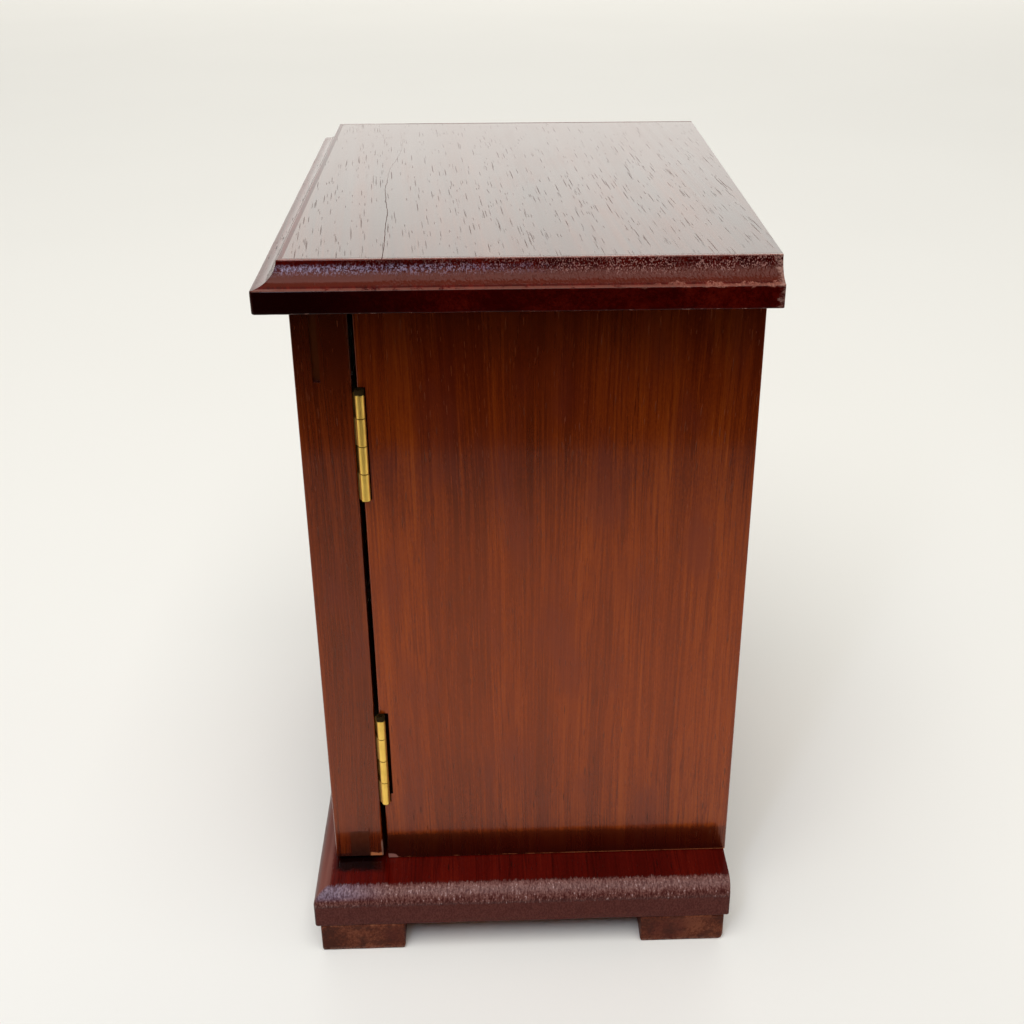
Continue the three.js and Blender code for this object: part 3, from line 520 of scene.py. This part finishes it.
M["back"] = wood("mahogany_back", "Z", INNER, (0.07, 0.02, 0.01), seed=(7.0, 17.0, 27.0), rough=0.5, wander=2.4, ior=1.4,
                 tint=(1.0, 1.0, 1.0), coat=0.0, amounts=(1.1, 0.6, 0.5, 0.5))
M["shelf"] = wood("mahogany_shelf", "X", INNER, (0.07, 0.02, 0.01), seed=(37.0, 47.0, 77.0), rough=0.45, ior=1.4,
                  tint=(1.0, 1.0, 1.0), coat=0.0)
M["rail"] = wood("mahogany_rod", "X", INNER, (0.07, 0.02, 0.01), seed=(27.0, 87.0, 97.0), rough=0.4, ior=1.4,
                 tint=(1.0, 1.0, 1.0), coat=0.0)

M["under"] = wood("mahogany_underside", "X", INNER, (0.07, 0.02, 0.01), seed=(67.0, 7.0, 47.0), rough=0.6, ior=1.3,
                  tint=(1.0, 1.0, 1.0), coat=0.0, wear=0.0)
# painted shade: the inside of the hinge recesses near black, rough and without lacquer
M["notch"] = wood("hinge_notch", "Z", ((0.0050, 0.0012, 0.0006), (0.0080, 0.0020, 0.0010), (0.0110, 0.0028, 0.0013), (0.0170, 0.0045, 0.0020)),
                  (0.003, 0.0008, 0.0004), rough=0.85, ior=1.12, tint=(1.0, 1.0, 1.0), coat=0.0, clouds=0.0, wear=0.0)
M["split"] = wood("mahogany_split", "X", ((0.120, 0.0200, 0.0100), (0.160, 0.0300, 0.0150), (0.210, 0.0420, 0.0210), (0.270, 0.0600, 0.0300)),
                  (0.030, 0.0030, 0.0015), rough=0.7, ior=1.2, tint=(1.0, 1.0, 1.0), coat=0.0, clouds=0.0, wear=0.0)


def metal(name, base, dull, rough, axis="Z", spots=0.35, barrel=None):
    s = Shader(name)
    k = [4.0, 4.0, 4.0]
    k["XYZ".index(axis)] = 0.25
    scratch = s.noise(s.vmath("MULTIPLY", s.p, tuple(k)), detail=4.0, rough=0.65)
    cloud = s.noise(s.vmath("MULTIPLY", s.p, (0.35, 0.35, 0.35)), detail=4.0, rough=0.6)
    fine = s.noise(s.vmath("MULTIPLY", s.p, (6.0, 6.0, 6.0)), detail=2.0)
    color = s.mix(s.mul(s.step(cloud, 0.45, 0.70), spots), base, dull)
    color = s.mix(s.mul(s.step(scratch, 0.55, 0.75), 0.35), color, dull)
    edge = s.attr("edge")
    color = s.mix(s.mul(edge, 0.25), color, tuple(min(1.0, c * 1.15) for c in base))
    r = s.add(rough, s.mul(s.sub(cloud, 0.5), 0.25))
    r = s.add(r, s.mul(s.sub(scratch, 0.5), 0.12))
    if barrel:
        # the rolled barrel is rubbed bright, the leaves are dull, and the barrel's upper end is painted near black, a
        # painted shade for its open end
        x, y, z = s.xyz(s.p)
        dx = s.sub(s.math("ABSOLUTE", x), barrel[0])
        dy = s.sub(s.sub(y, Y0), barrel[1])
        away = s.math("SQRT", s.add(s.mul(dx, dx), s.mul(dy, dy)))
        leaf = s.step(away, 1.12, 1.30)
        color = s.mix(s.mul(leaf, 0.90), color, (0.085, 0.046, 0.016))
        r = s.add(r, s.mul(leaf, 0.22))
        end_shade_noise = s.noise(s.vmath("MULTIPLY", s.p, (1.3, 1.3, 1.3)), detail=2.0)
        # painted shade at the upper end of each barrel, with a ragged lower limit
        ends = None
        for z0, z1 in HINGE_ROWS:
            k = s.mul(s.step(s.add(z, s.mul(s.sub(end_shade_noise, 0.5), 1.5)), z1 - 1.85, z1 - 1.55), s.step(z, z1 + 1.0, z1 + 0.5))
            ends = k if ends is None else s.mx(ends, k)
        color = s.mix(s.mul(ends, 0.97), color, (0.016, 0.009, 0.006))
        r = s.add(r, s.mul(ends, 0.35))
    s.put(s.bsdf.inputs["Base Color"], color)
    s.bsdf.inputs["Metallic"].default_value = 1.0
    s.put(s.bsdf.inputs["Roughness"], r)
    h = s.add(s.mul(scratch, 0.7), s.mul(fine, 0.4))
    s.put(s.bsdf.inputs["Normal"], s.bump(h, 0.010))
    return s.mat


M["brass"] = metal("brass_hinge", (0.95, 0.61, 0.130), (0.66, 0.39, 0.065), 0.34, barrel=(59.95, 13.6))
M["brass_knob"] = metal("brass_knob", (0.80, 0.56, 0.20), (0.55, 0.34, 0.09), 0.20, axis="Y", spots=0.25)
M["brass_screw"] = metal("brass_screw", (0.74, 0.50, 0.14), (0.45, 0.27, 0.06), 0.32, axis="X")
M["steel"] = metal("zinc_steel", (0.56, 0.56, 0.57), (0.34, 0.34, 0.35), 0.32, axis="X")
M["magnet"] = metal("nickel_magnet", (0.60, 0.58, 0.55), (0.40, 0.38, 0.35), 0.20, axis="X")


# ------------------------------------------------------------------ pieces
def piece(name, verts, faces, smooth, edge, mat, body, node=None):
    """A mesh piece. verts in metres in the row frame; smooth and edge are one value per face."""
    me = bpy.data.meshes.new(name)
    me.from_pydata([tuple(v) for v in verts], [], faces)
    bm = bmesh.new()
    bm.from_mesh(me)
    bmesh.ops.recalc_face_normals(bm, faces=bm.faces)
    bm.to_mesh(me)
    bm.free()
    return finish_piece(name, me, smooth, edge, mat, body, node)


def finish_piece(name, me, smooth, edge, mat, body, node=None):
    for poly, sm in zip(me.polygons, smooth):
        poly.use_smooth = bool(sm)
    a = me.attributes.new("edge", "FLOAT", "FACE")
    a.data.foreach_set("value", [float(e) for e in edge])
    me.materials.clear()
    me.materials.append(mat)
    o = bpy.data.objects.new(name, me)
    bpy.context.scene.collection.objects.link(o)
    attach(o, body)
    if node:
        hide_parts(*([node] if isinstance(node, str) else node))
    return o


def refined(node, mat, r=0.30, segs=3, extra_edges=None, small=0.0):
    """The node's own shape with its outer arrises eased. Only edges along the node's box, and any that extra_edges picks, are rounded."""
    src = NODES[node]
    bm = bmesh.new()
    bm.from_mesh(src.data)
    bmesh.ops.remove_doubles(bm, verts=bm.verts, dist=2e-6)
    bmesh.ops.dissolve_limit(bm, angle_limit=math.radians(0.4), verts=bm.verts, edges=bm.edges)
    lo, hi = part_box(node)
    tol = 3e-6

    def on_box_edge(e):
        a, b = e.verts[0].co, e.verts[1].co
        hits = 0
        for i in range(3):
            for side in (lo[i], hi[i]):
                if abs(a[i] - side) < tol and abs(b[i] - side) < tol:
                    hits += 1
        return hits >= 2 and e.calc_length() > 1.2 * MM

    before = set(bm.faces)
    main = [e for e in bm.edges if on_box_edge(e)]
    if extra_edges:
        more = [e for e in bm.edges if e not in main and len(e.link_faces) == 2
                and e.calc_face_angle() > 0.4 and extra_edges(e)]
        if more:
            bmesh.ops.bevel(bm, geom=more, offset=small * MM, segments=2, profile=0.5, affect="EDGES", clamp_overlap=False)
            main = [e for e in bm.edges if on_box_edge(e)]
    bmesh.ops.bevel(bm, geom=main, offset=r * MM, segments=segs, profile=0.5, affect="EDGES", clamp_overlap=False)
    bmesh.ops.recalc_face_normals(bm, faces=bm.faces)
    bm.faces.ensure_lookup_table()
    me = bpy.data.meshes.new(node + "_fine")
    flags = []
    for f in bm.faces:
        n = f.normal
        flat = max(abs(n.x), abs(n.y), abs(n.z)) > 0.9995
        flags.append(0.0 if flat else 1.0)
    bm.to_mesh(me)
    bm.free()
    return finish_piece(node + "_fine", me, [f > 0 for f in flags], flags, mat, BODY_OF[node], node)


def moulded(node, mat, profile, r_front, r_back, wobble=0.05, seed=0, step=2.0, edge_mat=None):
    """A board with a moulding on its front and both side edges. profile is (inset, height above the underside) from the underside to the flat."""
    lo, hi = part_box(node)
    X, yf, yb, z0 = hi.x / MM, lo.y / MM, hi.y / MM, lo.z / MM

    def path(d):
        """Points round the board at inset d, from the rear edge's left end to its right end."""
        pts = []
        rb = max(r_back - d * 0.2, 0.12)
        rf = max(r_front - d, 0.10)
        xs = X - d
        yfd = yf + d
        # left rear corner
        n = 4
        for i in range(n + 1):
            a = math.pi / 2 + (math.pi / 2) * i / n
            pts.append((-xs + rb + rb * math.cos(a), yb - rb + rb * math.sin(a)))
        L = int((yb - yf) / step)
        for i in range(1, L):
            y = (yb - rb) + (yfd + rf - (yb - rb)) * i / L
            pts.append((-xs, y))
        for i in range(n + 1):
            a = math.pi + (math.pi / 2) * i / n
            pts.append((-xs + rf + rf * math.cos(a), yfd + rf + rf * math.sin(a)))
        F = int(2 * X / step)
        for i in range(1, F):
            x = (-xs + rf) + (2 * (xs - rf)) * i / F
            pts.append((x, yfd))
        for i in range(n + 1):
            a = 1.5 * math.pi + (math.pi / 2) * i / n
            pts.append((xs - rf + rf * math.cos(a), yfd + rf + rf * math.sin(a)))
        for i in range(1, L):
            y = (yfd + rf) + ((yb - rb) - (yfd + rf)) * i / L
            pts.append((xs, y))
        for i in range(n + 1):
            a = (math.pi / 2) * i / n
            pts.append((xs - rb + rb * math.cos(a), yb - rb + rb * math.sin(a)))
        return pts

    verts, rows = [], []
    for k, (d, h) in enumerate(profile):
        row = []
        inner = d
        for (x, y) in path(inner):
            wv = noise.noise(Vector((x * 0.09 + seed, y * 0.09, h * 0.25)))
            wv2 = noise.noise(Vector((x * 0.45, y * 0.45 + seed, h * 0.5)))
            off = wobble * (0.7 * wv + 0.3 * wv2)
            if k in (0, len(profile) - 1) or y > yb - 1.0:
                off = 0.0
            sx = -1 if x > 0 else 1
            px = x + (sx * off if abs(x) > X - d - 0.3 else 0.0)
            py = y + (off if y < yf + d + 0.3 else 0.0)
            dz = 0.0 if h in (0.0, profile[-1][1]) else off * 0.5
            px = max(-X, min(X, px))
            py = max(yf, py)
            row.append(len(verts))
            verts.append((px * MM, py * MM, (z0 + h + dz) * MM))
        rows.append(row)
    faces, smooth, edge = [], [], []
    m = len(rows[0])
    for k in range(len(rows) - 1):
        (d0, h0), (d1, h1) = profile[k], profile[k + 1]
        flat = abs(h1 - h0) < 1e-6
        length = math.hypot(d1 - d0, h1 - h0)
        for i in range(m - 1):
            faces.append((rows[k][i], rows[k][i + 1], rows[k + 1][i + 1], rows[k + 1][i]))
            smooth.append(not flat)
            edge.append(1.0 if (length < 0.24 and not flat) else 0.0)
    faces.append(tuple(reversed(rows[0])))
    smooth.append(False); edge.append(0.0)
    faces.append(tuple(rows[-1]))
    smooth.append(False); edge.append(0.0)
    faces.append(tuple([r[0] for r in rows] + [r[-1] for r in reversed(rows)]))
    smooth.append(False); edge.append(0.0)
    o = piece(node + "_fine", verts, faces, smooth, edge, mat, BODY_OF[node], node)
    if edge_mat:
        o.data.materials.append(edge_mat)
        for i, poly in enumerate(o.data.polygons):
            poly.material_index = 0 if i == len(o.data.polygons) - 2 else 1
    return o


def arc(cx, cz, rx, rz, a0, a1, n, skip=0):
    return [(cx + rx * math.cos(a0 + (a1 - a0) * i / n), cz + rz * math.sin(a0 + (a1 - a0) * i / n))
            for i in range(skip, n + 1)]


# top board: upright edge 4.9, hollow 5.0 x 4.8
TOP_H = (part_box("top_board")[1].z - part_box("top_board")[0].z) / MM
TOP_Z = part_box("top_board")[1].z / MM
r = 0.35
prof = [(1.2, 0.0)]
prof += arc(r, r, r, r, 1.5 * math.pi, math.pi, 4)
prof += [(0.0, 1.6), (0.0, 3.2), (0.0, 4.45)]
prof += [(0.03, 4.68), (0.10, 4.82), (0.24, 4.905)]
prof += [(5.0 * math.cos(a), TOP_H + 4.8 * math.sin(a)) for a in [math.radians(-90 + 87 * i / 14) for i in range(1, 15)] if 5.0 * math.cos(a) > 0.42]
prof += [(5.03, TOP_H - 0.12), (5.12, TOP_H - 0.03), (5.30, TOP_H), (6.2, TOP_H)]
top = moulded("top_board", M["top"], prof, r_front=0.8, r_back=0.5, wobble=0.08, seed=3, edge_mat=M["mould"])

# a drying crack that runs in from the right-hand end, about half way across the board and then fading
CRACK = ((74.0, 20.7, 0.10), (68.0, 20.6, 0.105), (61.0, 20.5, 0.10), (54.9, 20.3, 0.10), (47.0, 19.9, 0.09), (40.0, 19.65, 0.09),
         (34.0, 19.6, 0.09), (29.2, 19.25, 0.085), (22.0, 18.5, 0.08), (16.1, 18.05, 0.08), (10.0, 17.5, 0.07), (3.7, 17.6, 0.06),
         (-3.8, 17.4, 0.045), (-11.4, 17.5, 0.04), (-20.3, 18.4, 0.04), (-31.5, 19.2, 0.03), (-43.3, 18.8, 0.025), (-60.7, 16.9, 0.008))
fine = []
for (xa, ya, wa), (xb, yb, wb) in zip(CRACK, CRACK[1:]):
    steps = max(1, int(abs(xb - xa) / 1.4))
    for i in range(steps):
        f = i / steps
        fine.append((xa + (xb - xa) * f, ya + (yb - ya) * f, wa + (wb - wa) * f))
CRACK = fine + [CRACK[-1]]
verts, faces = [], []
for i, (cx, cy, hw) in enumerate(CRACK):
    cy += Y0 + 0.10 * noise.noise(Vector((cx * 0.35, 4.0, 1.0))) + 0.07 * noise.noise(Vector((cx * 1.7, 9.0, 1.0)))
    hw *= 1.60 + 0.50 * noise.noise(Vector((cx * 0.8, 2.0, 7.0)))
    depth = 0.32 if cx > 0 else 0.20
    verts += [(cx * MM, (cy - hw) * MM, (TOP_Z + 0.4) * MM), (cx * MM, (cy + hw) * MM, (TOP_Z + 0.4) * MM),
              (cx * MM, cy * MM, (TOP_Z - depth) * MM)]
n = len(CRACK)
for i in range(n - 1):
    a, b = 3 * i, 3 * i + 3
    faces += [(a, b, b + 1, a + 1), (a + 1, b + 1, b + 2, a + 2), (a + 2, b + 2, b, a)]
faces += [(0, 1, 2), (3 * n - 1, 3 * n - 2, 3 * n - 3)]
me = bpy.data.meshes.new("crack_cutter")
me.from_pydata(verts, [], faces)
bm = bmesh.new()
bm.from_mesh(me)
bmesh.ops.recalc_face_normals(bm, faces=bm.faces)
bm.to_mesh(me)
bm.free()
cutter = bpy.data.objects.new("crack_cutter", me)
bpy.context.scene.collection.objects.link(cutter)
mod = top.modifiers.new("crack", "BOOLEAN")
mod.operation, mod.solver, mod.object = "DIFFERENCE", "EXACT", cutter
bpy.context.view_layer.update()
cut_mesh = bpy.data.meshes.new_from_object(top.evaluated_get(bpy.context.evaluated_depsgraph_get()))
top.modifiers.clear()
top.data = cut_mesh
cut_mesh.materials.append(M["split"])
for poly in cut_mesh.polygons:
    c = poly.center / MM
    if abs(poly.normal.y) > 0.12 and c.z > TOP_Z - 1.0 and abs(c.x) < 68.0 and abs(c.y - Y0 - 18.9) < 3.2:
        poly.material_index = 2
bpy.data.objects.remove(cutter)

# base board: upright edge 6.2, quarter round 4.0
prof = [(1.2, 0.0)]
prof += arc(r, r, r, r, 1.5 * math.pi, math.pi, 4)
prof += [(0.0, 2.0), (0.0, 3.6), (0.0, 5.2)]
prof += arc(4.0, 6.2, 4.0, 4.0, math.pi, 0.5 * math.pi, 12)
prof += [(4.6, 10.2), (5.6, 10.2)]
base = moulded("base_board", M["base"], prof, r_front=0.8, r_back=0.5, wobble=0.12, seed=11)
base.data.materials.append(M["under"])
base.data.polygons[len(base.data.polygons) - 3].material_index = 1

for side in ("right", "left"):
    k = side[0]
    board = refined(f"side_panel_{side}", M["side_" + k], r=0.30)
    board.data.materials.append(M["notch"])
    # faces inside the hinge recesses take the painted shade
    for poly in board.data.polygons:
        c = poly.center / MM
        if abs(c.x) < 59.32 and c.y - Y0 < 16.5 and abs(c.x) > 51 and any(z0 - 0.1 < c.z < z1 + 0.1 for z0, z1 in HINGE_ROWS):
            poly.material_index = 1
    refined(f"hinge_stile_{side}", M["stile_" + k], r=0.32)
    refined(f"closing_stile_{side}", M["close_" + k], r=0.35)
    refined(f"door_top_rail_{side}", M["rail_" + k], r=0.20)
    refined(f"door_bottom_rail_{side}", M["rail_" + k], r=0.20)
    refined(f"door_panel_{side}", M["panel_" + k], r=0.15)
    refined(f"foot_front_{side}", M["foot"], r=0.4)
    refined(f"foot_rear_{side}", M["foot"], r=0.4)
refined("back_panel", M["back"], r=0.15)
refined("hat_shelf", M["shelf"], r=0.25)
refined("top_front_rail", M["base"], r=0.3)

def turned_piece(node, mat, profile, origin, direction, segments=48, name=None):
    """A turned piece: profile is (radius, distance along the direction)."""
    d = Vector(direction).normalized()
    u = d.orthogonal().normalized()
    v = d.cross(u)
    o = Vector(origin)
    verts, faces, rings = [], [], []
    for r, h in profile:
        c = o + d * h
        if r < 1e-6:
            rings.append([len(verts)])
            verts.append(c * MM)
        else:
            rings.append(list(range(len(verts), len(verts) + segments)))
            for i in range(segments):
                a = 2 * math.pi * i / segments
                verts.append((c + u * (r * math.cos(a)) + v * (r * math.sin(a))) * MM)
    for a, b in zip(rings, rings[1:]):
        for i in range(segments):
            j = (i + 1) % segments
            if len(a) == 1:
                faces.append((a[0], b[i], b[j]))
            elif len(b) == 1:
                faces.append((a[i], a[j], b[0]))
            else:
                faces.append((a[i], a[j], b[j], b[i]))
    return piece(name or node + "_fine", verts, faces, [True] * len(faces), [0.0] * len(faces), mat, BODY_OF[node], node)


def eased(node, mat, width=0.07, angle=38.0):
    """The node's own shape with every sharp edge softened a little and its round parts shaded round."""
    src = NODES[node]
    bm = bmesh.new()
    bm.from_mesh(src.data)
    bmesh.ops.remove_doubles(bm, verts=bm.verts, dist=2e-6)
    bmesh.ops.dissolve_limit(bm, angle_limit=math.radians(0.5), verts=bm.verts, edges=bm.edges)
    sharp = [e for e in bm.edges if len(e.link_faces) == 2 and e.calc_face_angle() > math.radians(angle)]
    bmesh.ops.bevel(bm, geom=sharp, offset=width * MM, segments=2, profile=0.6, affect="EDGES", clamp_overlap=True)
    bmesh.ops.recalc_face_normals(bm, faces=bm.faces)
    me = bpy.data.meshes.new(node + "_fine")
    bm.to_mesh(me)
    bm.free()
    me.set_sharp_from_angle(angle=math.radians(30.0))
    o = finish_piece(node + "_fine", me, [True] * len(me.polygons), [0.0] * len(me.polygons), mat, BODY_OF[node], node)
    mod = o.modifiers.new("normals", "WEIGHTED_NORMAL")
    mod.keep_sharp, mod.weight = True, 100
    return o


for side in ("right", "left"):
    for which in ("upper", "lower"):
        eased(f"hinge_leaf_carcass_{which}_{side}", M["brass"])
        eased(f"hinge_leaf_door_{which}_{side}", M["brass"])
        eased(f"hinge_pin_{which}_{side}", M["brass_screw"], 0.03)
        for end in ("top", "bottom"):
            eased(f"carcass_screw_{which}_{end}_{side}", M["brass_screw"], 0.03)
            eased(f"door_screw_{which}_{end}_{side}", M["brass_screw"], 0.03)
    eased(f"knob_screw_{side}", M["steel"], 0.05)
    eased(f"catch_plate_{side}", M["steel"], 0.08)
    eased(f"catch_magnet_{side}", M["magnet"], 0.12)

KNOB = ((0, 0), (2.55, 0), (2.82, 0.03), (2.9, 0.14), (2.9, 0.42), (2.80, 0.54), (2.55, 0.62), (2.15, 0.80), (1.80, 1.02), (1.50, 1.30),
        (1.32, 1.60), (1.25, 1.95), (1.27, 2.30), (1.42, 2.66), (1.74, 2.98), (2.30, 3.34), (2.86, 3.66), (3.24, 4.02), (3.48, 4.42),
        (3.58, 4.85), (3.58, 5.20), (3.50, 5.70), (3.30, 6.18), (2.96, 6.60), (2.50, 6.95), (1.90, 7.22), (1.20, 7.40), (0.55, 7.47), (0, 7.5))
for side, sx in (("right", 1), ("left", -1)):
    turned_piece(f"knob_{side}", M["brass_knob"], KNOB, (7.0 * sx, Y0, 92.0), (0, -1, 0), segments=56)

for n, o in NODES.items():
    if o.hide_render:
        continue
    o.data.materials.clear()
    if "screw" in n and not n.startswith("knob"):
        mat = M["brass_screw"]
    elif n.startswith("hinge"):
        mat = M["brass"]
    elif n.startswith("knob_screw") or n.startswith("catch_plate"):
        mat = M["steel"]
    elif n.startswith("knob"):
        mat = M["brass_knob"]
    elif n.startswith("catch_magnet"):
        mat = M["magnet"]
    else:
        mat = M["rail"]
    o.data.materials.append(mat)


# ------------------------------------------------------------------ stage
def card(name, size, loc, look_at, color, strength=0.0, camera=False, rough=0.9):
    me = bpy.data.meshes.new(name)
    w, h = size[0] / 2, size[1] / 2
    me.from_pydata([(-w, -h, 0), (w, -h, 0), (w, h, 0), (-w, h, 0)], [], [(0, 1, 2, 3)])
    o = bpy.data.objects.new(name, me)
    bpy.context.scene.collection.objects.link(o)
    o.location = loc
    o.rotation_mode = "QUATERNION"
    o.rotation_quaternion = (Vector(look_at) - Vector(loc)).to_track_quat("Z", "Y")
    m = bpy.data.materials.new(name)
    m.use_nodes = True
    b = m.node_tree.nodes["Principled BSDF"]
    b.inputs["Base Color"].default_value = (*color, 1)
    b.inputs["Roughness"].default_value = rough
    b.inputs["Specular IOR Level"].default_value = 0.1
    if strength:
        b.inputs["Emission Color"].default_value = (*color, 1)
        b.inputs["Emission Strength"].default_value = strength
    me.materials.append(m)
    o.visible_camera = camera
    return o


floor_me = bpy.data.meshes.new("floor")
S = 12.0
floor_me.from_pydata([(-S, -S, 0), (S, -S, 0), (S, S, 0), (-S, S, 0)], [], [(0, 1, 2, 3)])
floor = bpy.data.objects.new("floor", floor_me)
bpy.context.scene.collection.objects.link(floor)
fs = Shader("pale_floor")
fn = fs.noise(fs.vmath("MULTIPLY", fs.p, (0.004, 0.004, 0.004)), detail=2.0)
fs.put(fs.bsdf.inputs["Base Color"], fs.mix(fn, (0.775, 0.765, 0.730), (0.805, 0.795, 0.760)))
fs.bsdf.inputs["Roughness"].default_value = 0.55
fs.bsdf.inputs["Specular IOR Level"].default_value = 0.25
floor_me.materials.append(fs.mat)


def area(name, loc, look_at, size, power, color=(1, 1, 1), size_y=None):
    d = bpy.data.lights.new(name, "AREA")
    d.shape = "RECTANGLE"
    d.size, d.size_y = size, size_y or size
    d.energy, d.color = power, color
    o = bpy.data.objects.new(name, d)
    bpy.context.scene.collection.objects.link(o)
    o.location = loc
    o.rotation_mode = "QUATERNION"
    o.rotation_quaternion = (Vector(look_at) - Vector(loc)).to_track_quat("-Z", "Y")
    o.visible_camera = False
    return o


# a large soft box overhead, a low wide one behind, a small cool window to the front, and the dark room behind the camera
area("overhead", (0.70, -0.15, 1.78), (0.05, 0.0, 0.1), 1.7, 35.0, (1.0, 0.99, 0.965))
area("behind", (-2.7, 0.10, 0.95), (0.0, 0.0, 0.17), 3.6, 27.6, (1.0, 0.975, 0.915), size_y=1.7)
area("window", (0.342, -0.098, 0.300), (0.07, -0.047, 0.175), 0.030, 0.36, (0.60, 0.71, 1.0), size_y=0.19)
card("flag", (1.4, 0.27), (0.345, 0.0, 0.136), (0.0, 0.0, 0.136), (0.012, 0.010, 0.009))

world = bpy.data.worlds.new("world")
bpy.context.scene.world = world
world.use_nodes = True
bg = world.node_tree.nodes["Background"]
bg.inputs["Color"].default_value = (1.0, 0.99, 0.95, 1)
bg.inputs["Strength"].default_value = 0.40
bpy.context.scene.view_settings.view_transform = "Standard"

# ------------------------------------------------------------------ end
bpy.context.view_layer.update()
